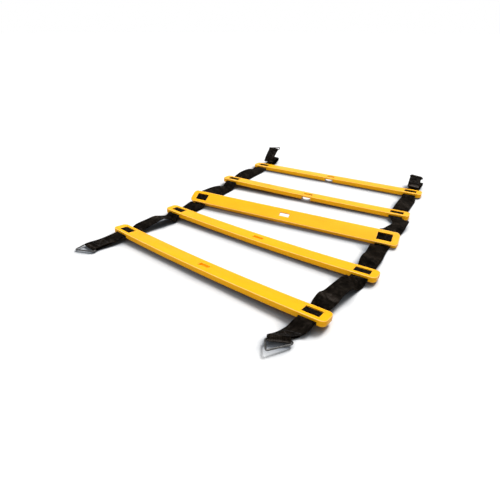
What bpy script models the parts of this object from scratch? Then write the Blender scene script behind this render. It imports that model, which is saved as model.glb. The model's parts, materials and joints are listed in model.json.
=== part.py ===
"""Agility ladder laid out on the floor: five flat slats on two webbing straps.

Each of the four strap ends holds a ring of bent wire.

X runs along the slats, Y from the near end of the ladder to the far end, and Z up from the floor.
The straps are cut under the slats' border bars, so that each slat carries the length that
is threaded through it.
"""
import bmesh
import bpy
from math import atan2, cos, pi, radians, sin, sqrt
from mathutils import Euler, Matrix, Vector
from mathutils.geometry import interpolate_bezier

CLEARANCE = 0.0003

# A slat, a moulded channel that is open underneath
SLAT_LENGTH = 0.430
SLAT_WIDTH = 0.029
SLAT_DEPTH = 0.009
SLAT_PLATE = 0.0025
SLAT_WALL = 0.0022
SLAT_CORNER = 0.008
SLAT_EDGE = 0.0009
SLAT_BOW = 0.005
CUT_OVERRUN = 0.005

# The webbing
STRAP_WIDTH = 0.030
SQUEEZED_SHARE = 0.847
THREADED_WIDTH = STRAP_WIDTH * SQUEEZED_SHARE
STRAP_THICKNESS = 0.0015
STRAP_RISE = 0.020

# The window at each end of a slat, which the strap passes through over a centre bar
WINDOW_LENGTH = THREADED_WIDTH + 2 * CLEARANCE
WINDOW_BORDER = 0.0117
WINDOW_WIDTH = 0.0158
WINDOW_BAR_DEPTH = 0.0042
CENTRE_BAR_WIDTH = 0.0090
CENTRE_BAR_DROP = 0.0021
CENTRE_BAR_DEPTH = 0.0036
STRAP_SPACING = SLAT_LENGTH - 2 * WINDOW_BORDER - WINDOW_LENGTH
TUNNEL_PLAY = 0.0005
TUNNEL_LENGTH = WINDOW_LENGTH + 2 * TUNNEL_PLAY
BAR_ROOT = 0.0010
END_BLOCK = 0.0060

# The slot and the notch at the middle of a slat
SLOT_LENGTH = 0.020
SLOT_WIDTH = 0.0085
NOTCH_LENGTH = 0.020
NOTCH_DEPTH = 0.0054
RECESS_DEPTH = 0.0045
RECESS_WALL = 0.0015

# The strap ends
LEFT_FRONT_TAIL = 0.0435
RIGHT_FRONT_TAIL = 0.0470
BACK_TAIL = 0.0500
BACK_TAIL_RISE = 0.040
END_WIDTH = {"front": STRAP_WIDTH, "back": THREADED_WIDTH}
LOOP_LEAD = 0.008
DOUBLED_LENGTH = 0.022

# A ring of bent wire
RING_WIRE = 0.0025
RING_DEPTH = 0.0205
RING_BEND = 0.0020

# The ladder as it lies: each slat's middle as shares of the slat's length and of the ladder's run,
# its yaw, roll and tilt in degrees, the share of the bow, whether it is turned end for end, and
# whether its slot is a blind recess
LADDER_RUN = 0.4845
SLAT_SHARES = (
    (-0.0644, 0.0000, -6.66, -8.65, -0.49, 1.00, False, True),
    (0.0047, 0.2487, -3.83, -6.07, 0.36, 0.90, False, True),
    (0.0191, 0.4446, 3.60, 28.97, 0.55, 0.00, True, False),
    (0.0149, 0.7125, 2.29, -5.43, 0.95, 0.34, False, False),
    (0.0256, 1.0000, 0.12, -3.22, -0.06, 0.00, False, False),
)

# Each bay's strap on the left and on the right, from one slat to the next: the share of the way,
# the share of the strap's width that it has moved outwards, and how high the inner and the outer
# edge are as shares of the rise
SPAN_SHARES = {
    ("left", 1): ((0.15, 0.0, 0.42, 0.42), (0.38, -0.04, 0.66, 0.57), (0.60, -0.06, 0.80, 0.67),
                  (0.76, -0.06, 0.50, 0.50), (0.90, -0.10, 0.05, 0.40)),
    ("left", 2): ((0.30, 0.0, 0.15, 0.37), (0.60, 0.0, 0.02, 0.52), (0.84, 0.0, 0.10, 0.54)),
    ("left", 3): ((0.12, 0.0, 0.80, 0.97), (0.30, 0.0, 0.40, 0.90), (0.50, 0.0, 0.05, 0.77),
                  (0.70, 0.0, 0.03, 0.50), (0.86, 0.0, 0.05, 0.20), (0.95, 0.0, 0.33, 0.40)),
    ("left", 4): ((0.10, 0.0, 0.30, 0.55), (0.27, 0.0, 0.10, 0.72), (0.46, 0.0, 0.04, 0.70),
                  (0.65, 0.0, 0.04, 0.55), (0.82, 0.0, 0.07, 0.27), (0.92, 0.0, 0.14, 0.36)),
    ("right", 1): ((0.10, 0.0, 0.60, 0.52), (0.22, 0.0, 0.85, 0.60), (0.36, -0.02, 0.64, 0.84),
                   (0.57, -0.03, 0.66, 0.78), (0.74, 0.0, 0.90, 0.18), (0.86, 0.02, 0.80, 0.0),
                   (0.94, 0.0, 0.45, 0.08)),
    ("right", 2): ((0.10, 0.0, 0.58, 0.32), (0.22, 0.0, 0.82, 0.25), (0.45, 0.0, 0.50, 0.15),
                   (0.70, -0.05, 0.48, 0.05), (0.88, -0.08, 0.30, 0.02)),
    ("right", 3): ((0.20, 0.20, 0.60, 0.15), (0.42, 0.34, 0.42, 0.14), (0.62, 0.44, 0.22, 0.50),
                   (0.78, 0.46, 0.15, 0.55), (0.92, 0.20, 0.25, 0.28)),
    ("right", 4): ((0.10, 0.10, 0.36, 0.15), (0.25, 0.15, 0.65, 0.12), (0.40, 0.17, 0.75, 0.07),
                   (0.60, 0.15, 0.50, 0.03), (0.80, 0.12, 0.20, 0.03), (0.91, 0.04, 0.25, 0.12)),
}

# Each strap end beyond the last slat: the share of its reach, the share of the strap's width that
# it has moved outwards, and how high its inner and outer edge are as shares of its rise
TAIL_SHARES = {
    ("left", "front"): ((0.15, 0.03, 0.46, 0.46), (0.40, 0.12, 0.34, 0.38), (0.70, 0.27, 0.31, 0.28),
                        (1.00, 0.44, 0.23, 0.24)),
    ("right", "front"): ((0.14, -0.03, 0.58, 0.60), (0.32, -0.10, 0.40, 0.40), (0.55, -0.33, 0.23, 0.15),
                         (0.76, -0.55, 0.30, 0.20)),
    ("left", "back"): ((0.24, 0.0, 0.05, 0.05), (0.62, 0.0, 0.06, 0.07), (0.90, 0.0, 0.13, 0.14),
                       (0.96, 0.0, 0.26, 0.27), (0.84, 0.0, 0.36, 0.37), (0.56, 0.0, 0.34, 0.35),
                       (0.28, 0.0, 0.25, 0.26), (0.15, 0.0, 0.26, 0.27), (0.18, 0.0, 0.34, 0.35),
                       (0.40, 0.0, 0.63, 0.64), (0.64, 0.0, 0.85, 0.87)),
    ("right", "back"): ((0.24, 0.07, 0.05, 0.05), (0.62, 0.14, 0.06, 0.06), (0.90, 0.20, 0.12, 0.10),
                        (1.00, 0.21, 0.22, 0.18), (0.88, 0.19, 0.31, 0.27), (0.56, 0.12, 0.30, 0.27),
                        (0.28, 0.06, 0.23, 0.22), (0.15, 0.05, 0.25, 0.24), (0.20, 0.05, 0.34, 0.32),
                        (0.44, 0.03, 0.49, 0.45), (0.70, 0.01, 0.60, 0.55)),
}

# The yaw of each strap end and the swing of its ring, in degrees, and how far to the left the ring's
# tip is, as a share of half the ring's width
TAIL_END_YAW = {
    ("left", "front"): -9.0,
    ("right", "front"): 25.0,
    ("left", "back"): 0.0,
    ("right", "back"): -4.0,
}
RING_SWING = {
    ("left", "front"): 2.0,
    ("right", "front"): -8.0,
    ("left", "back"): -35.0,
    ("right", "back"): -58.0,
}
RING_TIP_SHARES = {
    ("left", "front"): 0.92,
    ("right", "front"): 0.92,
    ("left", "back"): -0.65,
    ("right", "back"): 0.0,
}

# The share of a bay over which the webbing spreads to its full width at each end
EASE_SHARE = 0.12

# How high each bay's fold axis is, as a share of the strap's rise
FOLD_SHARES = (0.05, 0.45, 0.95, 0.75)

SIDES = {"left": -1, "right": 1}

# How finely curves are divided, and the share of a stretch that a curve's handles take
STRAP_STEPS = 3
LOOP_STEPS = 8
BEND_STEPS = 4
BOW_STEPS = 8
CORNER_STEPS = 6
EDGE_STEPS = 2
ROUND_PROFILE = 0.5
HANDLE_SHARE = 1 / 6
WELD_REACH = 0.000003
SMOOTH_LIMIT = radians(35)

for old in list(bpy.data.objects):
    bpy.data.objects.remove(old, do_unlink=True)

parts = bpy.data.collections.new("agility_ladder")
cutters = bpy.data.collections.new("cutters")
bpy.context.scene.collection.children.link(parts)
bpy.context.scene.collection.children.link(cutters)


def material(name, colour, roughness, metallic=0.0):
    """A Principled material of one colour."""
    made = bpy.data.materials.new(name)
    made.use_nodes = True
    shader = made.node_tree.nodes["Principled BSDF"]
    shader.inputs["Base Color"].default_value = (*colour, 1.0)
    shader.inputs["Roughness"].default_value = roughness
    shader.inputs["Metallic"].default_value = metallic
    made.diffuse_color = (*colour, 1.0)
    return made


PLASTIC = material("yellow_plastic", (0.91, 0.56, 0.01), 0.35)
WEBBING = material("black_webbing", (0.012, 0.011, 0.011), 0.85)
STEEL = material("ring_steel", (0.30, 0.30, 0.31), 0.35, 1.0)


def empty(name, place, parent=None):
    """A named reference point, which isn't a piece."""
    made = bpy.data.objects.new(name, None)
    made.empty_display_size = SLAT_WIDTH
    parts.objects.link(made)
    made.parent = parent
    made.matrix_world = place
    bpy.context.view_layer.update()
    return made


def box(name, size, centre):
    """A cutter or a bar in the slat's own frame."""
    shape = bmesh.new()
    bmesh.ops.create_cube(shape, size=1.0)
    bmesh.ops.scale(shape, vec=size, verts=shape.verts)
    bmesh.ops.translate(shape, vec=centre, verts=shape.verts)
    mesh = bpy.data.meshes.new(name)
    shape.to_mesh(mesh)
    shape.free()
    made = bpy.data.objects.new(name, mesh)
    cutters.objects.link(made)
    made.display_type = "WIRE"
    made.hide_render = True
    return made


def evaluated(obj):
    """The object's mesh with its modifiers applied."""
    bpy.context.view_layer.update()
    graph = bpy.context.evaluated_depsgraph_get()
    return bpy.data.meshes.new_from_object(obj.evaluated_get(graph))


def smooth(mesh):
    """Shades a mesh smooth, apart from its sharp edges."""
    mesh.shade_smooth()
    mesh.set_sharp_from_angle(angle=SMOOTH_LIMIT)


def slat_blank():
    """The slat's outer block, with its corners and edges rounded. Its top face is at height zero."""
    shape = bmesh.new()
    bmesh.ops.create_cube(shape, size=1.0)
    bmesh.ops.scale(shape, vec=(SLAT_LENGTH, SLAT_WIDTH, SLAT_DEPTH), verts=shape.verts)
    bmesh.ops.translate(shape, vec=(0, 0, -SLAT_DEPTH / 2), verts=shape.verts)
    upright = [e for e in shape.edges if abs((e.verts[0].co - e.verts[1].co).z) > SLAT_DEPTH / 2]
    bmesh.ops.bevel(shape, geom=upright, offset=SLAT_CORNER, segments=CORNER_STEPS, profile=ROUND_PROFILE,
                     affect="EDGES")
    level = [e for e in shape.edges if abs((e.verts[0].co - e.verts[1].co).z) < SLAT_DEPTH / 2]
    bmesh.ops.bevel(shape, geom=level, offset=SLAT_EDGE, segments=EDGE_STEPS, profile=ROUND_PROFILE,
                     affect="EDGES")
    mesh = bpy.data.meshes.new("slat_blank")
    shape.to_mesh(mesh)
    shape.free()
    made = bpy.data.objects.new("slat_blank", mesh)
    cutters.objects.link(made)
    return made


def cut(obj, tool, operation="DIFFERENCE"):
    """Adds a Boolean to the object."""
    step = obj.modifiers.new(tool.name, "BOOLEAN")
    step.operation = operation
    step.object = tool


def slat_ends():
    """The straight slat with its pocket and, at each end, its window, strap tunnel and centre bar."""
    blank = slat_blank()
    low = SLAT_DEPTH + CUT_OVERRUN
    inner_end = STRAP_SPACING / 2 - WINDOW_LENGTH / 2 - END_BLOCK
    pocket_height = low - SLAT_PLATE
    cut(blank, box("pocket", (2 * inner_end, SLAT_WIDTH - 2 * SLAT_WALL, pocket_height),
                   (0, 0, -SLAT_PLATE - pocket_height / 2)))
    for side, sign in SIDES.items():
        middle = sign * STRAP_SPACING / 2
        cut(blank, box(f"window_{side}", (WINDOW_LENGTH, WINDOW_WIDTH, 2 * low), (middle, 0, 0)))
        tunnel_height = low - WINDOW_BAR_DEPTH
        cut(blank, box(f"tunnel_{side}", (TUNNEL_LENGTH, SLAT_WIDTH + 2 * CUT_OVERRUN, tunnel_height),
                       (middle, 0, -WINDOW_BAR_DEPTH - tunnel_height / 2)))
        bar_length = TUNNEL_LENGTH + 2 * BAR_ROOT
        cut(blank, box(f"centre_bar_{side}", (bar_length, CENTRE_BAR_WIDTH, CENTRE_BAR_DEPTH),
                       (middle, 0, -CENTRE_BAR_DROP - CENTRE_BAR_DEPTH / 2)), "UNION")
    mesh = evaluated(blank)
    bpy.data.objects.remove(blank, do_unlink=True)
    return mesh


def slat_mesh(ends, blind):
    """The slat's mesh with its middle cut too: a blind recess, or a slot and a notch in one long side."""
    blank = bpy.data.objects.new("slat_blank", ends)
    cutters.objects.link(blank)
    if blind:
        boss = RECESS_DEPTH + RECESS_WALL - SLAT_PLATE / 2
        cut(blank, box("recess_boss", (SLOT_LENGTH + 2 * RECESS_WALL, SLOT_WIDTH + 2 * RECESS_WALL, boss),
                       (0, 0, -(SLAT_PLATE + boss) / 2)), "UNION")
        cut(blank, box("recess", (SLOT_LENGTH, SLOT_WIDTH, 2 * RECESS_DEPTH), (0, 0, 0)))
    else:
        low = SLAT_DEPTH + CUT_OVERRUN
        cut(blank, box("middle_slot", (SLOT_LENGTH, SLOT_WIDTH, 2 * low), (0, 0, 0)))
        notch_height = NOTCH_DEPTH + CUT_OVERRUN
        notch_top = SLAT_DEPTH - NOTCH_DEPTH
        cut(blank, box("middle_notch", (NOTCH_LENGTH, SLAT_WIDTH / 2, notch_height),
                       (0, -SLAT_WIDTH / 2, -notch_top - notch_height / 2)))
    mesh = evaluated(blank)
    bpy.data.objects.remove(blank, do_unlink=True)
    return mesh


def sag(across, share):
    """How far a slat's bow lowers it at a place along its length."""
    return SLAT_BOW * share * (1 - (2 * across / SLAT_LENGTH) ** 2)


def bowed(mesh, share):
    """A copy of the straight slat, bent down in the middle by its share of the bow."""
    made = mesh.copy()
    if share == 0:
        return made
    shape = bmesh.new()
    shape.from_mesh(made)
    for step in range(1, BOW_STEPS):
        place = SLAT_LENGTH * (step / BOW_STEPS - 1 / 2)
        if step == BOW_STEPS // 2:
            continue
        everything = shape.verts[:] + shape.edges[:] + shape.faces[:]
        bmesh.ops.bisect_plane(shape, geom=everything, dist=WELD_REACH, plane_co=(place, 0, 0),
                               plane_no=(1, 0, 0))
    for vert in shape.verts:
        vert.co.z -= sag(vert.co.x, share)
    bmesh.ops.triangulate(shape, faces=shape.faces)
    shape.to_mesh(made)
    shape.free()
    return made


class Slat:
    """One slat as it lies: its mesh, its rotation and its place, resting on the floor."""

    def __init__(self, straight, x_share, y_share, yaw, roll, tilt, bow_share, turned):
        self.bow_share = bow_share
        self.mesh = bowed(straight, bow_share)
        self.turn = Euler((radians(roll), radians(tilt), radians(yaw)), "XYZ").to_matrix().to_4x4()
        self.flip = Matrix.Rotation(pi if turned else 0, 4, "Z")
        lowest = min((self.turn @ self.flip @ v.co).z for v in self.mesh.vertices)
        place = Vector((x_share * SLAT_LENGTH, (y_share - 1 / 2) * LADDER_RUN, -lowest))
        self.frame = Matrix.Translation(place) @ self.turn

    def point(self, across, along, height):
        """A point in the slat's own frame, moved with its bow, in the ladder's frame."""
        return self.frame @ Vector((across, along, height - sag(across, self.bow_share)))

    def strap_edges(self, side, along, height):
        """The strap's inner and outer edge where it is in the slat."""
        sign = SIDES[side]
        inner = sign * (STRAP_SPACING - THREADED_WIDTH) / 2
        outer = sign * (STRAP_SPACING + THREADED_WIDTH) / 2
        return self.point(inner, along, height), self.point(outer, along, height)


TUNNEL_RUN = -WINDOW_BAR_DEPTH - CLEARANCE - STRAP_THICKNESS / 2
OVER_BAR = -CENTRE_BAR_DROP + CLEARANCE + STRAP_THICKNESS / 2
CUT_PLACE = (WINDOW_WIDTH + SLAT_WIDTH) / 4
LAYER_STEP = STRAP_THICKNESS + CLEARANCE
LOOP_RADIUS = RING_WIRE / 2 + CLEARANCE + STRAP_THICKNESS / 2
FLOOR_LEVEL = STRAP_THICKNESS / 2 + CLEARANCE


def curve_through(points, steps):
    """Points on a smooth curve through the given points, with its first and last stretch straight."""
    made = [points[0].copy()]
    for first, start, end, last in zip(points, points[1:], points[2:], points[3:]):
        leave = start + (end - first) * HANDLE_SHARE
        arrive = end - (last - start) * HANDLE_SHARE
        made += interpolate_bezier(start, leave, arrive, end, steps + 1)[:-1]
    return made + [points[-2].copy(), points[-1].copy()]


def spread(share, widest):
    """The webbing's width, from the width it is squeezed to in a slat to the widest it gets."""
    return THREADED_WIDTH + (widest - THREADED_WIDTH) * min(1, share)


def edge_pair(middle, across, width, inner_height, outer_height):
    """The strap's two edges at a place, from its middle in plan and the level way across."""
    reach = sqrt(width ** 2 - (outer_height - inner_height) ** 2) / 2
    inner = Vector((middle.x - across.x * reach, middle.y - across.y * reach, inner_height))
    outer = Vector((middle.x + across.x * reach, middle.y + across.y * reach, outer_height))
    return inner, outer


def middle_of(pair):
    """The point half way between a strap's edges."""
    return (pair[0] + pair[1]) / 2


def level_across(pair):
    """The level direction from a strap's inner edge to its outer edge."""
    way = pair[1] - pair[0]
    way.z = 0
    return way.normalized()


def ribbon(name, pairs, parent):
    """A length of webbing along pairs of edge points, with its origin at its parent."""
    shape = bmesh.new()
    rows = [(shape.verts.new(inner), shape.verts.new(outer)) for inner, outer in pairs]
    for (a, b), (c, d) in zip(rows, rows[1:]):
        shape.faces.new((a, b, d, c))
    bmesh.ops.recalc_face_normals(shape, faces=shape.faces)
    shape.transform(parent.matrix_world.inverted())
    mesh = bpy.data.meshes.new(name)
    shape.to_mesh(mesh)
    shape.free()
    made = bpy.data.objects.new(name, mesh)
    mesh.materials.append(WEBBING)
    parts.objects.link(made)
    made.parent = parent
    thick = made.modifiers.new("thickness", "SOLIDIFY")
    thick.thickness = STRAP_THICKNESS
    thick.offset = 0
    thick.use_even_offset = True
    made.data = evaluated(made)
    made.modifiers.clear()
    smooth(made.data)


def threaded(slat, side, name, parent):
    """The strap's length inside a slat: under one border bar, over the centre bar and under the other."""
    over = (CENTRE_BAR_WIDTH + STRAP_THICKNESS) / 2
    under = (WINDOW_WIDTH - STRAP_THICKNESS) / 2
    profile = ((-CUT_PLACE, TUNNEL_RUN), (-under, TUNNEL_RUN), (-over, OVER_BAR),
               (over, OVER_BAR), (under, TUNNEL_RUN), (CUT_PLACE, TUNNEL_RUN))
    ribbon(name, [slat.strap_edges(side, along, height) for along, height in profile], parent)


def slat_exit(slat, side, way):
    """The strap's edge pairs where it leaves a slat, at its far side if way is 1, at its near side if -1."""
    start = slat.strap_edges(side, way * (CUT_PLACE + CLEARANCE), TUNNEL_RUN)
    end = slat.strap_edges(side, way * (SLAT_WIDTH / 2 + 2 * STRAP_THICKNESS), TUNNEL_RUN)
    return start, end


def smooth_pairs(pairs):
    """The edge pairs on smooth curves that stay above the floor."""
    inner = curve_through([p[0] for p in pairs], STRAP_STEPS)
    outer = curve_through([p[1] for p in pairs], STRAP_STEPS)
    for point in inner + outer:
        point.z = max(point.z, FLOOR_LEVEL)
    return list(zip(inner, outer))


def height_at(share):
    """The height of the strap's middle surface above the floor, from a share of its rise."""
    return FLOOR_LEVEL + share * STRAP_RISE


def span(near, far, side, shares):
    """The strap's free length between two slats, as edge pairs."""
    near_inside, near_edge = slat_exit(near, side, 1)
    far_inside, far_edge = slat_exit(far, side, -1)
    sign = SIDES[side]
    pairs = [near_inside, near_edge]
    start, end = middle_of(near_edge), middle_of(far_edge)
    first, last = level_across(near_edge), level_across(far_edge)
    for along, outwards, inner_share, outer_share in shares:
        across = first.lerp(last, along).normalized()
        middle = start.lerp(end, along) + across * (outwards * STRAP_WIDTH)
        width = spread(min(along, 1 - along) / EASE_SHARE, STRAP_WIDTH)
        pairs.append(edge_pair(middle, across, width, height_at(inner_share), height_at(outer_share)))
    return smooth_pairs(pairs + [far_edge, far_inside])


def tail(slat, side, end):
    """The strap's end beyond the last slat, folded back round the ring's bar."""
    way = -1 if end == "front" else 1
    inside, edge = slat_exit(slat, side, way)
    start = middle_of(edge)
    first = level_across(edge)
    forward = slat.frame.to_3x3() @ Vector((0, way, 0))
    forward.z = 0
    forward.normalize()
    yaw = radians(TAIL_END_YAW[side, end])
    last = SIDES[side] * Vector((cos(yaw), sin(yaw), 0))
    front_reach = LEFT_FRONT_TAIL if side == "left" else RIGHT_FRONT_TAIL
    reach = front_reach if end == "front" else BACK_TAIL
    rise = STRAP_RISE if end == "front" else BACK_TAIL_RISE
    shares = TAIL_SHARES[side, end]
    pairs = [inside, edge]
    for step, (along, outwards, inner_share, outer_share) in enumerate(shares):
        across = first.lerp(last, (step + 1) / len(shares)).normalized()
        middle = start + forward * (along * reach) + first * (outwards * STRAP_WIDTH)
        width = spread((step + 1) / len(shares), END_WIDTH[end])
        pairs.append(edge_pair(middle, across, width, FLOOR_LEVEL + inner_share * rise,
                               FLOOR_LEVEL + outer_share * rise))
    beyond = tuple(2 * here - before for here, before in zip(pairs[-1], pairs[-2]))
    main = smooth_pairs(pairs + [beyond])[:-1]
    return folded_end(main, SIDES[side] * way)


def folded_end(main, hand):
    """Adds the loop round the ring's bar and the layer that is folded back below the strap.

    Returns the edge pairs, the bar's middle, and the strap's directions there: forward, across and below.
    """
    def frame(i):
        before, after = main[max(i - 1, 0)], main[min(i + 1, len(main) - 1)]
        forward = (middle_of(after) - middle_of(before)).normalized()
        across = (main[i][1] - main[i][0]).normalized()
        forward = (forward - across * forward.dot(across)).normalized()
        return forward, across, hand * forward.cross(across)

    forward, across, below = frame(len(main) - 1)
    centre = middle_of(main[-1]) + forward * LOOP_LEAD + below * (LAYER_STEP / 2)
    half = (main[-1][1] - main[-1][0]) / 2
    loop = []
    for step in range(LOOP_STEPS + 1):
        angle = pi * step / LOOP_STEPS
        middle = centre + forward * (sin(angle) * LOOP_RADIUS) - below * (cos(angle) * LOOP_RADIUS)
        loop.append((middle - half, middle + half))
    back = []
    length = 0
    for i in range(len(main) - 1, 0, -1):
        way = frame(i)[2]
        back.append((main[i][0] + way * LAYER_STEP, main[i][1] + way * LAYER_STEP))
        length += (middle_of(main[i]) - middle_of(main[i - 1])).length
        if length > DOUBLED_LENGTH:
            break
    return main + loop + back, centre, forward, across, below


def rounded(corners, radii):
    """A closed outline with each corner replaced by an arc of its radius."""
    made = []
    for i, corner in enumerate(corners):
        to_last = (corners[i - 1] - corner).normalized()
        to_next = (corners[(i + 1) % len(corners)] - corner).normalized()
        half_angle = to_last.angle(to_next) / 2
        inwards = (to_last + to_next).normalized()
        middle = corner + inwards * (radii[i] / sin(half_angle))
        start = corner + to_last * (radii[i] * cos(half_angle) / sin(half_angle)) - middle
        end = corner + to_next * (radii[i] * cos(half_angle) / sin(half_angle)) - middle
        sweep = start.angle(end)
        for step in range(BEND_STEPS + 1):
            t = step / BEND_STEPS
            made.append(middle + (start * sin((1 - t) * sweep) + end * sin(t * sweep)) / sin(sweep))
    return made


def ring(name, parent, centre, forward, across, below, width, swing, tip_share):
    """A triangular ring of round wire, with its straight bar in the strap's loop."""
    half = width / 2 + CLEARANCE + RING_WIRE / 2
    shoulder = LOOP_RADIUS + STRAP_THICKNESS / 2 + RING_WIRE / 2 + CLEARANCE
    away = (forward * cos(radians(swing)) - below * sin(radians(swing))).normalized()
    left = across if across.x < 0 else -across
    corners = [centre - left * half, centre - left * half + away * shoulder,
               centre + left * (half * tip_share) + away * RING_DEPTH,
               centre + left * half + away * shoulder, centre + left * half]
    points = rounded(corners, (RING_BEND, 2 * RING_BEND, RING_BEND, 2 * RING_BEND, RING_BEND))
    inverse = parent.matrix_world.inverted()
    wire = bpy.data.curves.new(name, "CURVE")
    wire.dimensions = "3D"
    wire.bevel_depth = RING_WIRE / 2
    wire.bevel_resolution = 2
    spline = wire.splines.new("POLY")
    spline.points.add(len(points) - 1)
    for target, point in zip(spline.points, points):
        target.co = (*(inverse @ point), 1)
    spline.use_cyclic_u = True
    wire.materials.append(STEEL)
    made = bpy.data.objects.new(name, wire)
    parts.objects.link(made)
    made.parent = parent


def fold_place(near, far, share):
    """The axis of a bay's fold: half way along both straps, with X along it."""
    ends = []
    for sign in SIDES.values():
        across = sign * STRAP_SPACING / 2
        ends.append((near.point(across, 0, 0) + far.point(across, 0, 0)) / 2)
    middle = (ends[0] + ends[1]) / 2
    middle.z = FLOOR_LEVEL + share * STRAP_RISE
    yaw = atan2(ends[1].y - ends[0].y, ends[1].x - ends[0].x)
    return Matrix.Translation(middle) @ Matrix.Rotation(yaw, 4, "Z")


ends = slat_ends()
straight = {blind: slat_mesh(ends, blind) for blind in (False, True)}
slats = [Slat(straight[shares[-1]], *shares[:-1]) for shares in SLAT_SHARES]
folds = [fold_place(near, far, share) for near, far, share in zip(slats, slats[1:], FOLD_SHARES)]

ladder = empty("ladder", Matrix.Identity(4))
fold_2_3 = empty("fold_2_3", folds[1], ladder)
fold_1_2 = empty("fold_1_2", folds[0], fold_2_3)
fold_3_4 = empty("fold_3_4", folds[2], ladder)
fold_4_5 = empty("fold_4_5", folds[3], fold_3_4)
bodies = (fold_1_2, fold_2_3, ladder, fold_3_4, fold_4_5)

for number, (slat, body) in enumerate(zip(slats, bodies), start=1):
    slat.mesh.materials.clear()
    slat.mesh.materials.append(PLASTIC)
    smooth(slat.mesh)
    made = bpy.data.objects.new(f"slat_{number}", slat.mesh)
    parts.objects.link(made)
    made.parent = body
    made.matrix_world = slat.frame @ slat.flip
    for side in SIDES:
        threaded(slat, side, f"strap_{side}_in_slat_{number}", body)

bays = zip(slats, slats[1:], (fold_2_3, ladder, ladder, fold_3_4))
for number, (near, far, body) in enumerate(bays, start=1):
    for side in SIDES:
        pairs = span(near, far, side, SPAN_SHARES[side, number])
        ribbon(f"strap_{side}_{number}_to_{number + 1}", pairs, body)

for side in SIDES:
    for end, slat, body in (("front", slats[0], fold_1_2), ("back", slats[-1], fold_4_5)):
        pairs, centre, forward, across, below = tail(slat, side, end)
        ribbon(f"strap_{side}_{end}_end", pairs, body)
        turn = Matrix((across, forward, across.cross(forward))).transposed().to_4x4()
        swing = empty(f"swing_{side}_{end}", Matrix.Translation(centre) @ turn, body)
        ring(f"ring_{side}_{end}", swing, centre, forward, across, below, END_WIDTH[end],
             RING_SWING[side, end], RING_TIP_SHARES[side, end])

bpy.context.view_layer.update()
graph = bpy.context.evaluated_depsgraph_get()
corners = []
for obj in parts.objects:
    if obj.type in {"MESH", "CURVE"}:
        shape = obj.evaluated_get(graph).to_mesh()
        corners += [obj.matrix_world @ v.co for v in shape.vertices]
        obj.evaluated_get(graph).to_mesh_clear()
low = Vector([min(c[i] for c in corners) for i in range(3)])
high = Vector([max(c[i] for c in corners) for i in range(3)])
ladder.location = (-(low.x + high.x) / 2, -(low.y + high.y) / 2, -low.z)
bpy.context.view_layer.update()
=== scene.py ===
"""The agility ladder, dressed: moulded slats, ribbed webbing, stitched strap ends and wire rings."""

import json
from math import atan2, cos, pi, radians, sin, sqrt

import bmesh
import bpy
from mathutils import Euler, Matrix, Vector
from mathutils.geometry import interpolate_bezier

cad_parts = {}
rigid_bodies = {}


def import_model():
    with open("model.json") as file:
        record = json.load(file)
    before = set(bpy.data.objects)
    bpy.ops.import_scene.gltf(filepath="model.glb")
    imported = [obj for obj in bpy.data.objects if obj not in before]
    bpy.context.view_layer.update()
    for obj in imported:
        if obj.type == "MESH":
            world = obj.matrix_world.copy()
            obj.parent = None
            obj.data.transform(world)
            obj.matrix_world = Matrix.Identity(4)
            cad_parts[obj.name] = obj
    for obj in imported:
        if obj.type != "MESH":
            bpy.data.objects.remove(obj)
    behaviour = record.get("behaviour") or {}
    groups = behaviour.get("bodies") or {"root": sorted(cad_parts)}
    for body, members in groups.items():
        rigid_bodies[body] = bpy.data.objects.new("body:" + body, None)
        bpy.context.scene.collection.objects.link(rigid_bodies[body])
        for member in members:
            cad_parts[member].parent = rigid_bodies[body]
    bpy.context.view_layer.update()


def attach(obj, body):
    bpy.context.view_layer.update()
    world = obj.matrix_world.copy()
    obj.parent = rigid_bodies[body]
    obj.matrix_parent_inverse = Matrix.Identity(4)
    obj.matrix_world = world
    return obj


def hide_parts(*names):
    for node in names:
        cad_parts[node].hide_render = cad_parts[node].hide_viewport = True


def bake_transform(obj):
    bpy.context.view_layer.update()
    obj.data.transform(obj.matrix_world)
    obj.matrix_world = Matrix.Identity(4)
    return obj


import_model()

# Lengths are in metres. This is where the middle of the ladder's run is in the part's frame.
LADDER_PLACE = Vector((0.015665, 0.014646, 0.0))

CLEARANCE = 0.0003
SLAT_LENGTH = 0.430
SLAT_WIDTH = 0.029
SLAT_DEPTH = 0.009
SLAT_PLATE = 0.0025
SLAT_WALL = 0.0022
SLAT_CORNER = 0.008
CORNER_STEPS = 14
SLAT_EDGE = 0.0009
EDGE_STEPS = 4
CUT_EDGE = 0.00035
CUT_EDGE_STEPS = 3
CUT_EDGE_ANGLE = 50
SMOOTH_ANGLE = 32
SLAT_BOW = 0.005
BOW_STEPS = 32
BOW_STEP_SHIFT = 0.0003
BOW_STEP_MERGE = 0.000003
FLAT_NORMAL = 0.985
SHEEN_NORMAL = 0.2
CUT_OVERRUN = 0.005

STRAP_WIDTH = 0.030
SQUEEZED_SHARE = 0.847
THREADED_WIDTH = STRAP_WIDTH * SQUEEZED_SHARE
STRAP_THICKNESS = 0.0015
STRAP_RISE = 0.020
RIBS = 11
RIB_DEPTH = 0.00011
COLUMNS = 4 * RIBS
SIDE_POWER = 14
SIDE_THINNING = 0.65
ROW_STEP = 0.0018
YARNS_PER_METRE = 620.0

# Where the webbing bends over towards the light from above and in front, a painted highlight is added to
# its colour.
# The turns are in radians per metre, each way is the one that such a bend faces, and a bend below
# STRAIGHT counts as none.
CREST_TURN = 110.0
CREST_WAY = Vector((0.10, -0.45, 0.89)).normalized()
CREST_POWER = 3
CREST_REACH = 0.026
LOOP_TURN = 300.0
LOOP_WAY = Vector((0.35, -0.90, 0.15)).normalized()
LOOP_POWER = 9
STRAIGHT = 0.001

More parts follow.
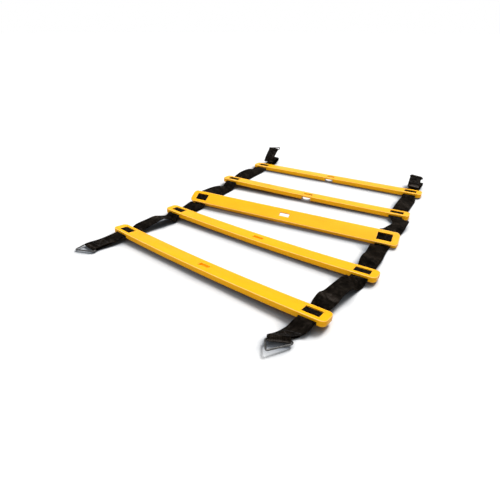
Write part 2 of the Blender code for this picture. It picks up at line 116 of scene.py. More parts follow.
WINDOW_LENGTH = THREADED_WIDTH + 2 * CLEARANCE
WINDOW_BORDER = 0.0117
WINDOW_WIDTH = 0.0158
WINDOW_BAR_DEPTH = 0.0042
CENTRE_BAR_WIDTH = 0.0090
CENTRE_BAR_DROP = 0.0021
CENTRE_BAR_DEPTH = 0.0036
STRAP_SPACING = SLAT_LENGTH - 2 * WINDOW_BORDER - WINDOW_LENGTH
TUNNEL_PLAY = 0.0005
TUNNEL_LENGTH = WINDOW_LENGTH + 2 * TUNNEL_PLAY
BAR_ROOT = 0.0010
END_BLOCK = 0.0060

SLOT_LENGTH = 0.020
SLOT_WIDTH = 0.0085
SLOT_LIGHT = Vector((-0.0050, 0.0060, 0))
SLOT_LIGHT_EDGE = 0.002
NOTCH_LENGTH = 0.020
NOTCH_DEPTH = 0.0054
RECESS_DEPTH = 0.0045
RECESS_WALL = 0.0015

LEFT_FRONT_TAIL = 0.0435
RIGHT_FRONT_TAIL = 0.0470
BACK_TAIL = 0.0500
BACK_TAIL_RISE = 0.040
END_WIDTH = {"front": STRAP_WIDTH, "back": THREADED_WIDTH}
LOOP_LEAD = 0.008
DOUBLED_LENGTH = 0.022

STITCH_LENGTH = 0.0026
STITCH_GAP = 0.08
STITCH_THREAD = 0.00028
THREAD_SIDES = 6
STITCH_INSET = 0.0015
STITCH_SIDE = 0.12
STITCH_BOX = 0.0185
# Places along a stitch and its height there, in thread radii
STITCH_BOW = ((0, -0.9), (0.12, 0.15), (0.3, 0.75), (0.5, 0.9), (0.7, 0.75), (0.88, 0.15), (1, -0.9))

RING_WIRE = 0.0025
RING_DEPTH = 0.0205
RING_BEND = 0.0020
WIRE_SIDES = 14

LADDER_RUN = 0.4845

# Each slat's place across and along, yaw, roll and tilt in degrees, share of the bow, and whether it is
# turned end for end and whether its recess is blind
SLAT_SHARES = (
    (-0.0644, 0.0000, -6.66, -8.65, -0.49, 1.00, False, True),
    (0.0047, 0.2487, -3.83, -6.07, 0.36, 0.90, False, True),
    (0.0191, 0.4446, 3.60, 28.97, 0.55, 0.00, True, False),
    (0.0149, 0.7125, 2.29, -5.43, 0.95, 0.34, False, False),
    (0.0256, 1.0000, 0.12, -3.22, -0.06, 0.00, False, False),
)
# For each free length, rows of the share along it, the share of its width that it lies outwards, and the
# shares of the rise of its inner and outer edges
SPAN_SHARES = {
    ("left", 1): ((0.15, 0.0, 0.42, 0.42), (0.38, -0.04, 0.66, 0.57), (0.60, -0.06, 0.80, 0.67),
                  (0.76, -0.06, 0.50, 0.50), (0.90, -0.10, 0.05, 0.40)),
    ("left", 2): ((0.30, 0.0, 0.15, 0.37), (0.60, 0.0, 0.02, 0.52), (0.84, 0.0, 0.10, 0.54)),
    ("left", 3): ((0.12, 0.0, 0.80, 0.97), (0.30, 0.0, 0.40, 0.90), (0.50, 0.0, 0.05, 0.77),
                  (0.70, 0.0, 0.03, 0.50), (0.86, 0.0, 0.05, 0.20), (0.95, 0.0, 0.33, 0.40)),
    ("left", 4): ((0.10, 0.0, 0.30, 0.55), (0.27, 0.0, 0.10, 0.72), (0.46, 0.0, 0.04, 0.70),
                  (0.65, 0.0, 0.04, 0.55), (0.82, 0.0, 0.07, 0.27), (0.92, 0.0, 0.14, 0.36)),
    ("right", 1): ((0.10, 0.0, 0.60, 0.52), (0.22, 0.0, 0.85, 0.60), (0.36, -0.02, 0.64, 0.84),
                   (0.57, -0.03, 0.66, 0.78), (0.74, 0.0, 0.90, 0.18), (0.86, 0.02, 0.80, 0.0),
                   (0.94, 0.0, 0.45, 0.08)),
    ("right", 2): ((0.10, 0.0, 0.58, 0.32), (0.22, 0.0, 0.82, 0.25), (0.45, 0.0, 0.50, 0.15),
                   (0.70, -0.05, 0.48, 0.05), (0.88, -0.08, 0.30, 0.02)),
    ("right", 3): ((0.20, 0.20, 0.60, 0.15), (0.42, 0.34, 0.42, 0.14), (0.62, 0.44, 0.22, 0.50),
                   (0.78, 0.46, 0.15, 0.55), (0.92, 0.20, 0.25, 0.28)),
    ("right", 4): ((0.10, 0.10, 0.36, 0.15), (0.25, 0.15, 0.65, 0.12), (0.40, 0.17, 0.75, 0.07),
                   (0.60, 0.15, 0.50, 0.03), (0.80, 0.12, 0.20, 0.03), (0.91, 0.04, 0.25, 0.12)),
}
# The same for the strap ends, with the first share along the end's reach
TAIL_SHARES = {
    ("left", "front"): ((0.15, 0.03, 0.46, 0.46), (0.40, 0.12, 0.34, 0.38), (0.70, 0.27, 0.31, 0.28),
                        (1.00, 0.44, 0.23, 0.24)),
    ("right", "front"): ((0.14, -0.03, 0.58, 0.60), (0.32, -0.10, 0.40, 0.40), (0.55, -0.33, 0.23, 0.15),
                         (0.76, -0.55, 0.30, 0.20)),
    ("left", "back"): ((0.24, 0.0, 0.05, 0.05), (0.62, 0.0, 0.06, 0.07), (0.90, 0.0, 0.13, 0.14),
                       (0.96, 0.0, 0.26, 0.27), (0.84, 0.0, 0.36, 0.37), (0.56, 0.0, 0.34, 0.35),
                       (0.28, 0.0, 0.25, 0.26), (0.15, 0.0, 0.26, 0.27), (0.18, 0.0, 0.34, 0.35),
                       (0.40, 0.0, 0.63, 0.64), (0.64, 0.0, 0.85, 0.87)),
    ("right", "back"): ((0.24, 0.07, 0.05, 0.05), (0.62, 0.14, 0.06, 0.06), (0.90, 0.20, 0.12, 0.10),
                        (1.00, 0.21, 0.22, 0.18), (0.88, 0.19, 0.31, 0.27), (0.56, 0.12, 0.30, 0.27),
                        (0.28, 0.06, 0.23, 0.22), (0.15, 0.05, 0.25, 0.24), (0.20, 0.05, 0.34, 0.32),
                        (0.44, 0.03, 0.49, 0.45), (0.70, 0.01, 0.60, 0.55)),
}
TAIL_END_YAW = {("left", "front"): -9.0, ("right", "front"): 25.0, ("left", "back"): 0.0,
                ("right", "back"): -4.0}
RING_SWING = {("left", "front"): 2.0, ("right", "front"): -8.0, ("left", "back"): -35.0,
              ("right", "back"): -58.0}
RING_TIP_SHARES = {("left", "front"): 0.92, ("right", "front"): 0.92, ("left", "back"): -0.65,
                   ("right", "back"): 0.0}
EASE_SHARE = 0.12
FOLD_SHARES = (0.05, 0.45, 0.95, 0.75)

SIDES = {"left": -1, "right": 1}
STRAP_STEPS = 16
SOLID_STEPS = 3
LOOP_STEPS = 16
HANDLE_SHARE = 1 / 6
BEND_STEPS = 6

TUNNEL_RUN = -WINDOW_BAR_DEPTH - CLEARANCE - STRAP_THICKNESS / 2
OVER_BAR = -CENTRE_BAR_DROP + CLEARANCE + STRAP_THICKNESS / 2
CUT_PLACE = (WINDOW_WIDTH + SLAT_WIDTH) / 4
LAYER_STEP = STRAP_THICKNESS + CLEARANCE
LOOP_RADIUS = RING_WIRE / 2 + CLEARANCE + STRAP_THICKNESS / 2
FLOOR_LEVEL = STRAP_THICKNESS / 2 + CLEARANCE


# Materials

def tree(name):
    """A new material, its node tree and its Principled shader."""
    made = bpy.data.materials.new(name)
    made.use_nodes = True
    return made, made.node_tree, made.node_tree.nodes["Principled BSDF"]


def add(nodes, kind, **values):
    """A node with some of its inputs and properties set."""
    made = nodes.nodes.new(kind)
    for key, value in values.items():
        if key in made.inputs:
            made.inputs[key].default_value = value
        else:
            setattr(made, key, value)
    return made


def maths(nodes, operation, *inputs):
    """A Math node whose inputs are numbers or sockets."""
    made = nodes.nodes.new("ShaderNodeMath")
    made.operation = operation
    for socket, value in zip(made.inputs, inputs):
        if isinstance(value, (int, float)):
            socket.default_value = value
        else:
            nodes.links.new(value, socket)
    return made.outputs[0]


def noise(nodes, vector, scale, detail, roughness):
    """A noise texture's value."""
    made = add(nodes, "ShaderNodeTexNoise", Scale=scale, Detail=detail, Roughness=roughness)
    nodes.links.new(vector, made.inputs["Vector"])
    return made.outputs["Fac"]


def ramp(nodes, value, *stops):
    """A colour ramp over a value."""
    made = nodes.nodes.new("ShaderNodeValToRGB")
    ends = made.color_ramp.elements
    ends[0].position, ends[0].color = stops[0][0], (*stops[0][1], 1)
    ends[1].position, ends[1].color = stops[-1][0], (*stops[-1][1], 1)
    for place, colour in stops[1:-1]:
        ends.new(place).color = (*colour, 1)
    nodes.links.new(value, made.inputs["Fac"])
    return made.outputs["Color"]


def remap(nodes, value, low, high):
    """A value from 0 to 1 taken to a range."""
    made = add(nodes, "ShaderNodeMapRange")
    made.inputs["To Min"].default_value = low
    made.inputs["To Max"].default_value = high
    nodes.links.new(value, made.inputs["Value"])
    return made.outputs["Result"]


def bump(nodes, shader, height, distance, strength):
    """Adds a bump map of a height socket to the shader."""
    made = add(nodes, "ShaderNodeBump", Strength=strength, Distance=distance)
    nodes.links.new(height, made.inputs["Height"])
    nodes.links.new(made.outputs["Normal"], shader.inputs["Normal"])


def plastic():
    """Moulded yellow plastic: slight flow marks, a fine satin texture, patchy roughness and a painted
    highlight, a paler yellow, along the rounded edges.
    """
    made, nodes, shader = tree("moulded_yellow_plastic")
    place = nodes.nodes.new("ShaderNodeTexCoord").outputs["Object"]
    stretched = add(nodes, "ShaderNodeMapping")
    stretched.inputs["Scale"].default_value = (0.35, 1.0, 1.0)
    nodes.links.new(place, stretched.inputs["Vector"])
    flow = noise(nodes, stretched.outputs["Vector"], 38.0, 3.0, 0.55)
    colour = ramp(nodes, flow, (0.25, (0.900, 0.400, 0.0010)), (0.50, (0.950, 0.435, 0.0015)),
                  (0.78, (0.980, 0.470, 0.0025)))
    # A painted highlight: the rounded edges are mixed towards a paler yellow, patchy by a noise that also
    # sets the roughness
    edge = add(nodes, "ShaderNodeAttribute", attribute_name="painted_edge_highlight")
    shine = noise(nodes, place, 75.0, 4.0, 0.6)
    wear_and_sheen = maths(nodes, "MULTIPLY", edge.outputs["Fac"], remap(nodes, shine, 0.35, 1.0))
    mix = add(nodes, "ShaderNodeMix", data_type="RGBA")
    nodes.links.new(wear_and_sheen, mix.inputs["Factor"])
    nodes.links.new(colour, mix.inputs["A"])
    mix.inputs["B"].default_value = (1.0, 0.63, 0.24, 1)
    nodes.links.new(mix.outputs["Result"], shader.inputs["Base Color"])
    nodes.links.new(remap(nodes, shine, 0.30, 0.50), shader.inputs["Roughness"])
    shader.inputs["Specular IOR Level"].default_value = 0.11
    shader.inputs["Subsurface Weight"].default_value = 0.06
    shader.inputs["Subsurface Radius"].default_value = (1.0, 0.7, 0.2)
    shader.inputs["Subsurface Scale"].default_value = 0.0015
    grain = noise(nodes, place, 1400.0, 2.0, 0.6)
    waves = noise(nodes, place, 45.0, 1.0, 0.5)
    height = maths(nodes, "ADD", maths(nodes, "MULTIPLY", grain, 0.25), waves)
    bump(nodes, shader, height, 0.00012, 0.35)
    return made


def webbing():
    """Black polypropylene webbing: yarns that pass over and under each other, in lengthwise ribs, with a
    painted highlight where it bends over.
    """
    made, nodes, shader = tree("ribbed_black_webbing")
    uv = add(nodes, "ShaderNodeUVMap")
    uv.uv_map = "weave"
    split = nodes.nodes.new("ShaderNodeSeparateXYZ")
    nodes.links.new(uv.outputs["UV"], split.inputs["Vector"])
    across, along = split.outputs["X"], split.outputs["Y"]
    rib = maths(nodes, "MULTIPLY", across, float(RIBS))
    number = maths(nodes, "FLOOR", rib)
    half = maths(nodes, "MULTIPLY", number, 0.5)
    yarn = maths(nodes, "ADD", maths(nodes, "MULTIPLY", along, YARNS_PER_METRE), half)
    slant = maths(nodes, "MULTIPLY", maths(nodes, "SUBTRACT", rib, number), 0.35)
    phase = maths(nodes, "FRACT", maths(nodes, "ADD", yarn, slant))
    hump = maths(nodes, "SINE", maths(nodes, "MULTIPLY", phase, pi))
    round_rib = maths(nodes, "SINE", maths(nodes, "MULTIPLY", maths(nodes, "FRACT", rib), pi))
    fibre = noise(nodes, uv.outputs["UV"], 900.0, 2.0, 0.7)
    flat_hump, flat_rib = maths(nodes, "POWER", hump, 0.6), maths(nodes, "POWER", round_rib, 0.5)
    weave = maths(nodes, "MULTIPLY", flat_hump, flat_rib)
    height = maths(nodes, "ADD", weave, maths(nodes, "MULTIPLY", fibre, 0.3))
    place = nodes.nodes.new("ShaderNodeTexCoord").outputs["Object"]
    wear_and_sheen = noise(nodes, place, 60.0, 3.0, 0.6)
    fluff = noise(nodes, place, 240.0, 3.0, 0.6)
    dust = maths(nodes, "ADD", maths(nodes, "MULTIPLY", wear_and_sheen, 0.45), maths(nodes, "MULTIPLY", fluff, 0.35))
    shade = maths(nodes, "ADD", maths(nodes, "MULTIPLY", weave, 0.20), dust)
    # A painted highlight where the webbing bends over, which lifts the colour up the ramp towards a pale
    # brown-grey
    bend = add(nodes, "ShaderNodeAttribute", attribute_name="crest_highlight").outputs["Fac"]
    shade = maths(nodes, "ADD", shade, maths(nodes, "MULTIPLY", bend, 0.40))
    colour = ramp(nodes, shade, (0.38, (0.0007, 0.0005, 0.0004)), (0.50, (0.0034, 0.0025, 0.0017)),
                  (0.63, (0.0175, 0.0136, 0.0106)), (1.00, (0.1100, 0.0960, 0.0860)))
    nodes.links.new(colour, shader.inputs["Base Color"])
    nodes.links.new(remap(nodes, wear_and_sheen, 0.48, 0.68), shader.inputs["Roughness"])
    shader.inputs["Specular IOR Level"].default_value = 0.006
    bump(nodes, shader, height, 0.00022, 0.75)
    return made


def steel():
    """Dull plated wire with fine drawn lines and spots."""
    made, nodes, shader = tree("plated_steel_wire")
    place = nodes.nodes.new("ShaderNodeTexCoord").outputs["Object"]
    spots = noise(nodes, place, 320.0, 4.0, 0.65)
    colour = ramp(nodes, spots, (0.30, (0.030, 0.029, 0.028)), (0.55, (0.085, 0.083, 0.081)),
                  (0.80, (0.190, 0.187, 0.183)))
    nodes.links.new(colour, shader.inputs["Base Color"])
    nodes.links.new(remap(nodes, spots, 0.22, 0.42), shader.inputs["Roughness"])
    shader.inputs["Metallic"].default_value = 1.0
    bump(nodes, shader, noise(nodes, place, 1500.0, 2.0, 0.6), 0.00003, 0.5)
    return made


def thread():
    """Bonded black thread."""
    made, nodes, shader = tree("black_thread")
    place = nodes.nodes.new("ShaderNodeTexCoord").outputs["Object"]
    fine = noise(nodes, place, 2600.0, 2.0, 0.6)
    colour = ramp(nodes, fine, (0.3, (0.010, 0.009, 0.009)), (0.7, (0.030, 0.028, 0.027)))
    nodes.links.new(colour, shader.inputs["Base Color"])
    shader.inputs["Roughness"].default_value = 0.45
    shader.inputs["Specular IOR Level"].default_value = 0.25
    bump(nodes, shader, fine, 0.00006, 0.6)
    return made


PLASTIC = plastic()
WEBBING = webbing()
STEEL = steel()
THREAD = thread()


def link(name, mesh, finish):
    """A new object in the scene with a material."""
    made = bpy.data.objects.new(name, mesh)
    bpy.context.scene.collection.objects.link(made)
    mesh.materials.clear()
    mesh.materials.append(finish)
    return made


def from_bmesh(shape, name):
    """A mesh from a bmesh, which is freed."""
    mesh = bpy.data.meshes.new(name)
    shape.to_mesh(mesh)
    shape.free()
    return mesh


# Slats

def block(name, size, centre):
    """A cutter in the slat's own frame."""
    shape = bmesh.new()
    bmesh.ops.create_cube(shape, size=1.0)
    bmesh.ops.scale(shape, vec=size, verts=shape.verts)
    bmesh.ops.translate(shape, vec=centre, verts=shape.verts)
    made = bpy.data.objects.new(name, from_bmesh(shape, name))
    bpy.context.scene.collection.objects.link(made)
    return made


def applied(obj):
    """The object's mesh with its modifiers applied. The object is removed."""
    bpy.context.view_layer.update()
    graph = bpy.context.evaluated_depsgraph_get()
    mesh = bpy.data.meshes.new_from_object(obj.evaluated_get(graph))
    bpy.data.objects.remove(obj, do_unlink=True)
    return mesh


def slat_mesh(blind):
    """The straight slat, with its moulded edges rounded, and a blind recess or a slot and a notch."""
    shape = bmesh.new()
    bmesh.ops.create_cube(shape, size=1.0)
    bmesh.ops.scale(shape, vec=(SLAT_LENGTH, SLAT_WIDTH, SLAT_DEPTH), verts=shape.verts)
    bmesh.ops.translate(shape, vec=(0, 0, -SLAT_DEPTH / 2), verts=shape.verts)
    upright = [e for e in shape.edges if abs((e.verts[0].co - e.verts[1].co).z) > SLAT_DEPTH / 2]
    bmesh.ops.bevel(shape, geom=upright, offset=SLAT_CORNER, segments=CORNER_STEPS, profile=0.5,
                    affect="EDGES")
    level = [e for e in shape.edges if abs((e.verts[0].co - e.verts[1].co).z) < SLAT_DEPTH / 2]
    bmesh.ops.bevel(shape, geom=level, offset=SLAT_EDGE, segments=EDGE_STEPS, profile=0.5,
                    affect="EDGES")
    blank = bpy.data.objects.new("blank", from_bmesh(shape, "blank"))
    bpy.context.scene.collection.objects.link(blank)
    tools = []
    low = SLAT_DEPTH + CUT_OVERRUN
    inner_end = STRAP_SPACING / 2 - WINDOW_LENGTH / 2 - END_BLOCK
    pocket_height = low - SLAT_PLATE
    tools.append((block("pocket", (2 * inner_end, SLAT_WIDTH - 2 * SLAT_WALL, pocket_height),
                        (0, 0, -SLAT_PLATE - pocket_height / 2)), "DIFFERENCE"))
    tunnel_height = low - WINDOW_BAR_DEPTH
    bar_size = (TUNNEL_LENGTH + 2 * BAR_ROOT, CENTRE_BAR_WIDTH, CENTRE_BAR_DEPTH)
    for side, sign in SIDES.items():
        middle = sign * STRAP_SPACING / 2
        tools.append((block(f"window_{side}", (WINDOW_LENGTH, WINDOW_WIDTH, 2 * low), (middle, 0, 0)),
                      "DIFFERENCE"))
        tools.append((block(f"tunnel_{side}", (TUNNEL_LENGTH, SLAT_WIDTH + 2 * CUT_OVERRUN, tunnel_height),
                            (middle, 0, -WINDOW_BAR_DEPTH - tunnel_height / 2)), "DIFFERENCE"))
        tools.append((block(f"centre_bar_{side}", bar_size,
                            (middle, 0, -CENTRE_BAR_DROP - CENTRE_BAR_DEPTH / 2)), "UNION"))
    if blind:
        boss = RECESS_DEPTH + RECESS_WALL - SLAT_PLATE / 2
        tools.append((block("boss", (SLOT_LENGTH + 2 * RECESS_WALL, SLOT_WIDTH + 2 * RECESS_WALL, boss),
                            (0, 0, -(SLAT_PLATE + boss) / 2)), "UNION"))
        tools.append((block("recess", (SLOT_LENGTH, SLOT_WIDTH, 2 * RECESS_DEPTH), (0, 0, 0)),
                      "DIFFERENCE"))
    else:
        tools.append((block("slot", (SLOT_LENGTH, SLOT_WIDTH, 2 * low), (0, 0, 0)), "DIFFERENCE"))
        notch_height = NOTCH_DEPTH + CUT_OVERRUN
        notch_top = SLAT_DEPTH - NOTCH_DEPTH
        tools.append((block("notch", (NOTCH_LENGTH, SLAT_WIDTH / 2, notch_height),
                            (0, -SLAT_WIDTH / 2, -notch_top - notch_height / 2)), "DIFFERENCE"))
    for tool, operation in tools:
        step = blank.modifiers.new(tool.name, "BOOLEAN")
        step.operation = operation
        step.object = tool
    edges = blank.modifiers.new("edges", "BEVEL")
    edges.width = CUT_EDGE
    edges.segments = CUT_EDGE_STEPS
    edges.limit_method = "ANGLE"
    edges.angle_limit = radians(CUT_EDGE_ANGLE)
    edges.use_clamp_overlap = True
    mesh = applied(blank)
    for tool, _ in tools:
        bpy.data.objects.remove(tool, do_unlink=True)
    return mesh


def sag(across, share):
    """How far a slat's bow lowers it at a place along its length."""
    return SLAT_BOW * share * (1 - (2 * across / SLAT_LENGTH) ** 2)


def bowed(mesh, share):
    """A copy of the straight slat, bent down in the middle by its share of the bow."""
    made = mesh.copy()
    shape = bmesh.new()
    shape.from_mesh(made)
    for step in range(1, BOW_STEPS):
        # A little off centre, so that no cut falls on an edge that is there already
        place = SLAT_LENGTH * (step / BOW_STEPS - 1 / 2) + BOW_STEP_SHIFT
        bmesh.ops.bisect_plane(shape, geom=shape.verts[:] + shape.edges[:] + shape.faces[:],
                               dist=BOW_STEP_MERGE, plane_co=(place, 0, 0), plane_no=(1, 0, 0))
    for vert in shape.verts:
        vert.co.z -= sag(vert.co.x, share)
    bmesh.ops.triangulate(shape, faces=[f for f in shape.faces if len(f.verts) > 4])
    shape.to_mesh(made)
    shape.free()
    made.shade_smooth()
    made.set_sharp_from_angle(angle=radians(SMOOTH_ANGLE))
    # A painted highlight goes on the rounded edges of the top and the underside, not on the flat faces
    edge_sheen = made.attributes.new("painted_edge_highlight", "FLOAT", "FACE")
    wear_and_sheen = [max(abs(c) for c in face.normal) < FLAT_NORMAL and abs(face.normal.z) > SHEEN_NORMAL
            for face in made.polygons]
    edge_sheen.data.foreach_set("value", [float(is_highlit) for is_highlit in wear_and_sheen])
    return made


class Slat:
    """One slat as it lies: its mesh, its rotation and its place, resting on the floor."""

    def __init__(self, straight, x_share, y_share, yaw, roll, tilt, bow_share, turned):
        self.bow_share = bow_share
        self.mesh = bowed(straight, bow_share)
        self.turn = Euler((radians(roll), radians(tilt), radians(yaw)), "XYZ").to_matrix().to_4x4()
        self.flip = Matrix.Rotation(pi if turned else 0, 4, "Z")
        lowest = min((self.turn @ self.flip @ v.co).z for v in self.mesh.vertices)
        place = Vector((x_share * SLAT_LENGTH, (y_share - 1 / 2) * LADDER_RUN, -lowest))
        self.frame = Matrix.Translation(place + LADDER_PLACE) @ self.turn

    def point(self, across, along, height):
        """A point in the slat's own frame, moved with its bow."""
        return self.frame @ Vector((across, along, height - sag(across, self.bow_share)))

    def strap_edges(self, side, along, height):
        """The strap's inner and outer edge where it is in the slat."""
        sign = SIDES[side]
        inner = sign * (STRAP_SPACING - THREADED_WIDTH) / 2
        outer = sign * (STRAP_SPACING + THREADED_WIDTH) / 2
        return self.point(inner, along, height), self.point(outer, along, height)


# Webbing

def curve_through(points, steps):
    """Points on a smooth curve through the given points, with its first and last stretch straight."""
    made = [points[0].copy()]
    for first, start, end, last in zip(points, points[1:], points[2:], points[3:]):
        leave = start + (end - first) * HANDLE_SHARE
        arrive = end - (last - start) * HANDLE_SHARE
        made += interpolate_bezier(start, leave, arrive, end, steps + 1)[:-1]
    return made + [points[-2].copy(), points[-1].copy()]


def spread(share, widest):
    """The webbing's width, from the width it is squeezed to in a slat to the widest it gets."""
    return THREADED_WIDTH + (widest - THREADED_WIDTH) * min(1, share)


def edge_pair(middle, across, width, inner_height, outer_height):
    """The strap's two edges, from its middle in plan, the level way across and each edge's height."""
    reach = sqrt(width ** 2 - (outer_height - inner_height) ** 2) / 2
    inner = Vector((middle.x - across.x * reach, middle.y - across.y * reach, inner_height))
    outer = Vector((middle.x + across.x * reach, middle.y + across.y * reach, outer_height))
    return inner, outer


def middle_of(pair):
    """The point half way between a strap's edges."""
    return (pair[0] + pair[1]) / 2


def level_across(pair):
    """The level direction from a strap's inner edge to its outer edge."""
    way = pair[1] - pair[0]
    way.z = 0
    return way.normalized()


def even(pairs):
    """The edge pairs taken at even steps along the strap's middle."""
    middles = [middle_of(p) for p in pairs]
    run = [0.0]
    for a, b in zip(middles, middles[1:]):
        run.append(run[-1] + (b - a).length)
    count = max(2, round(run[-1] / ROW_STEP))
    made = []
    i = 0
    for step in range(count + 1):
        want = run[-1] * step / count
        while i < len(run) - 2 and run[i + 1] < want:
            i += 1
        t = (want - run[i]) / max(run[i + 1] - run[i], 1e-9)
        made.append((pairs[i][0].lerp(pairs[i + 1][0], t), pairs[i][1].lerp(pairs[i + 1][1], t)))
    return made


def section():
    """One half of the strap's outline: shares across from -1 to 1, with the height of the ribbed face."""
    top = []
    for column in range(COLUMNS + 1):
        share = 2 * column / COLUMNS - 1
        rib = abs(sin(pi * RIBS * column / COLUMNS))
        edge = sqrt(max(0.0, 1 - abs(share) ** SIDE_POWER))
        thinned = 1 - SIDE_THINNING + SIDE_THINNING * edge
        height = (STRAP_THICKNESS / 2 - RIB_DEPTH * (1 - rib)) * thinned
        top.append((share, height))
    return top


SECTION = section()


def crest_highlight(before, middle, after):
    """The painted highlight at a place, from how sharply the webbing bends over upwards or to the front of
    the ladder, from 0 to 1.
    """
    bend = (before - middle).normalized() + (after - middle).normalized()
    if bend.length < STRAIGHT:
        return 0.0
    turned = bend.length / ((before - middle).length + (after - middle).length) * 2
    if turned > LOOP_TURN:
        return max(0.0, -bend.normalized().dot(LOOP_WAY)) ** LOOP_POWER
    return min(1.0, turned / CREST_TURN) * max(0.0, -bend.normalized().dot(CREST_WAY)) ** CREST_POWER


def webbing_piece(name, pairs):
    """A length of ribbed webbing along pairs of edge points, closed at its ends."""
    pairs = even(pairs)
    total = sum((middle_of(b) - middle_of(a)).length for a, b in zip(pairs, pairs[1:]))
    shape = bmesh.new()
    weave = shape.loops.layers.uv.new("weave")
    highlight_layer = shape.verts.layers.float.new("crest_highlight")
    rings = []
    run = 0.0
    for i, (inner, outer) in enumerate(pairs):
        before, after = pairs[max(i - 1, 0)], pairs[min(i + 1, len(pairs) - 1)]
        if i:
            run += (middle_of(pairs[i]) - middle_of(pairs[i - 1])).length
        middle = middle_of((inner, outer))
        half = (outer - inner) / 2
        normal = half.cross(middle_of(after) - middle_of(before)).normalized()
        loop = [(middle + half * share + normal * height, share) for share, height in SECTION]
        loop += [(middle + half * share - normal * height, share) for share, height in reversed(SECTION)]
        # The painted highlight where the webbing bends over, left off within CREST_REACH of either end
        shine = 0.0
        if CREST_REACH < run < total - CREST_REACH:
            shine = crest_highlight(middle_of(before), middle, middle_of(after))
        rings.append([(shape.verts.new(point), share, run) for point, share in loop])
        for vert, _, _ in rings[-1]:
            vert[highlight_layer] = shine
    for near, far in zip(rings, rings[1:]):
        for k in range(len(near)):
            corners = (near[k], near[(k + 1) % len(near)], far[(k + 1) % len(near)], far[k])
            face = shape.faces.new([c[0] for c in corners])
            face.smooth = True
            for loop, corner in zip(face.loops, corners):
                loop[weave].uv = ((corner[1] + 1) / 2, corner[2])
    for cap in (rings[0], rings[-1]):
        face = shape.faces.new([c[0] for c in cap])
        for loop, corner in zip(face.loops, cap):
            loop[weave].uv = ((corner[1] + 1) / 2, corner[2])
    bmesh.ops.recalc_face_normals(shape, faces=shape.faces)
    return link(name, from_bmesh(shape, name), WEBBING)


def threaded(slat, side):
    """The strap's length inside a slat: under one border bar, over the centre bar and under the other."""
    over = (CENTRE_BAR_WIDTH + STRAP_THICKNESS) / 2
    under = (WINDOW_WIDTH - STRAP_THICKNESS) / 2
    ease = STRAP_THICKNESS / 3
    profile = ((-CUT_PLACE, TUNNEL_RUN), (-under - ease, TUNNEL_RUN),
               (-under + ease, TUNNEL_RUN + ease / 2), (-over - ease, OVER_BAR - ease / 2),
               (-over + ease, OVER_BAR), (0, OVER_BAR), (over - ease, OVER_BAR),
               (over + ease, OVER_BAR - ease / 2), (under - ease, TUNNEL_RUN + ease / 2),
               (under + ease, TUNNEL_RUN), (CUT_PLACE, TUNNEL_RUN))
    return [slat.strap_edges(side, along, height) for along, height in profile]


def slat_exit(slat, side, way):
    """The strap's edge pairs where it leaves a slat. The way is 1 for the far side, -1 for the near one."""
    start = slat.strap_edges(side, way * (CUT_PLACE + CLEARANCE), TUNNEL_RUN)
    end = slat.strap_edges(side, way * (SLAT_WIDTH / 2 + 2 * STRAP_THICKNESS), TUNNEL_RUN)
    return start, end


def smooth_pairs(pairs, steps=STRAP_STEPS):
    """The edge pairs on smooth curves that stay above the floor."""
    inner = curve_through([p[0] for p in pairs], steps)
    outer = curve_through([p[1] for p in pairs], steps)
    for point in inner + outer:
        point.z = max(point.z, LADDER_PLACE.z + FLOOR_LEVEL)
    return list(zip(inner, outer))


def height_at(share):
    """The height of the strap's middle surface, from a share of its rise."""
    return LADDER_PLACE.z + FLOOR_LEVEL + share * STRAP_RISE


def span(near, far, side, shares):
    """The strap's free length between two slats, as edge pairs."""
    near_inside, near_edge = slat_exit(near, side, 1)
    far_inside, far_edge = slat_exit(far, side, -1)
    pairs = [near_inside, near_edge]
    start, end = middle_of(near_edge), middle_of(far_edge)
    first, last = level_across(near_edge), level_across(far_edge)
    for along, outwards, inner_share, outer_share in shares:
        across = first.lerp(last, along).normalized()
        middle = start.lerp(end, along) + across * (outwards * STRAP_WIDTH)
        width = spread(min(along, 1 - along) / EASE_SHARE, STRAP_WIDTH)
        pairs.append(edge_pair(middle, across, width, height_at(inner_share), height_at(outer_share)))
    return smooth_pairs(pairs + [far_edge, far_inside])


def tail(slat, side, end):
    """The strap's end beyond the last slat, folded back round the ring's bar."""
    way = -1 if end == "front" else 1
    inside, edge = slat_exit(slat, side, way)
    start = middle_of(edge)
    first = level_across(edge)
    forward = slat.frame.to_3x3() @ Vector((0, way, 0))
    forward.z = 0
    forward.normalize()
    yaw = radians(TAIL_END_YAW[side, end])
    last = SIDES[side] * Vector((cos(yaw), sin(yaw), 0))
    front_reach = LEFT_FRONT_TAIL if side == "left" else RIGHT_FRONT_TAIL
    reach = front_reach if end == "front" else BACK_TAIL
    rise = STRAP_RISE if end == "front" else BACK_TAIL_RISE
    floor = LADDER_PLACE.z + FLOOR_LEVEL
    shares = TAIL_SHARES[side, end]
    pairs = [inside, edge]
    for step, (along, outwards, inner_share, outer_share) in enumerate(shares):
        across = first.lerp(last, (step + 1) / len(shares)).normalized()
        middle = start + forward * (along * reach) + first * (outwards * STRAP_WIDTH)
        width = spread((step + 1) / len(shares), END_WIDTH[end])
        inner_height, outer_height = floor + inner_share * rise, floor + outer_share * rise
        pairs.append(edge_pair(middle, across, width, inner_height, outer_height))
    beyond = tuple(2 * here - before for here, before in zip(pairs[-1], pairs[-2]))
    main = smooth_pairs(pairs + [beyond])[:-1]
    return folded_end(main, smooth_pairs(pairs + [beyond], SOLID_STEPS)[-3], SIDES[side] * way)


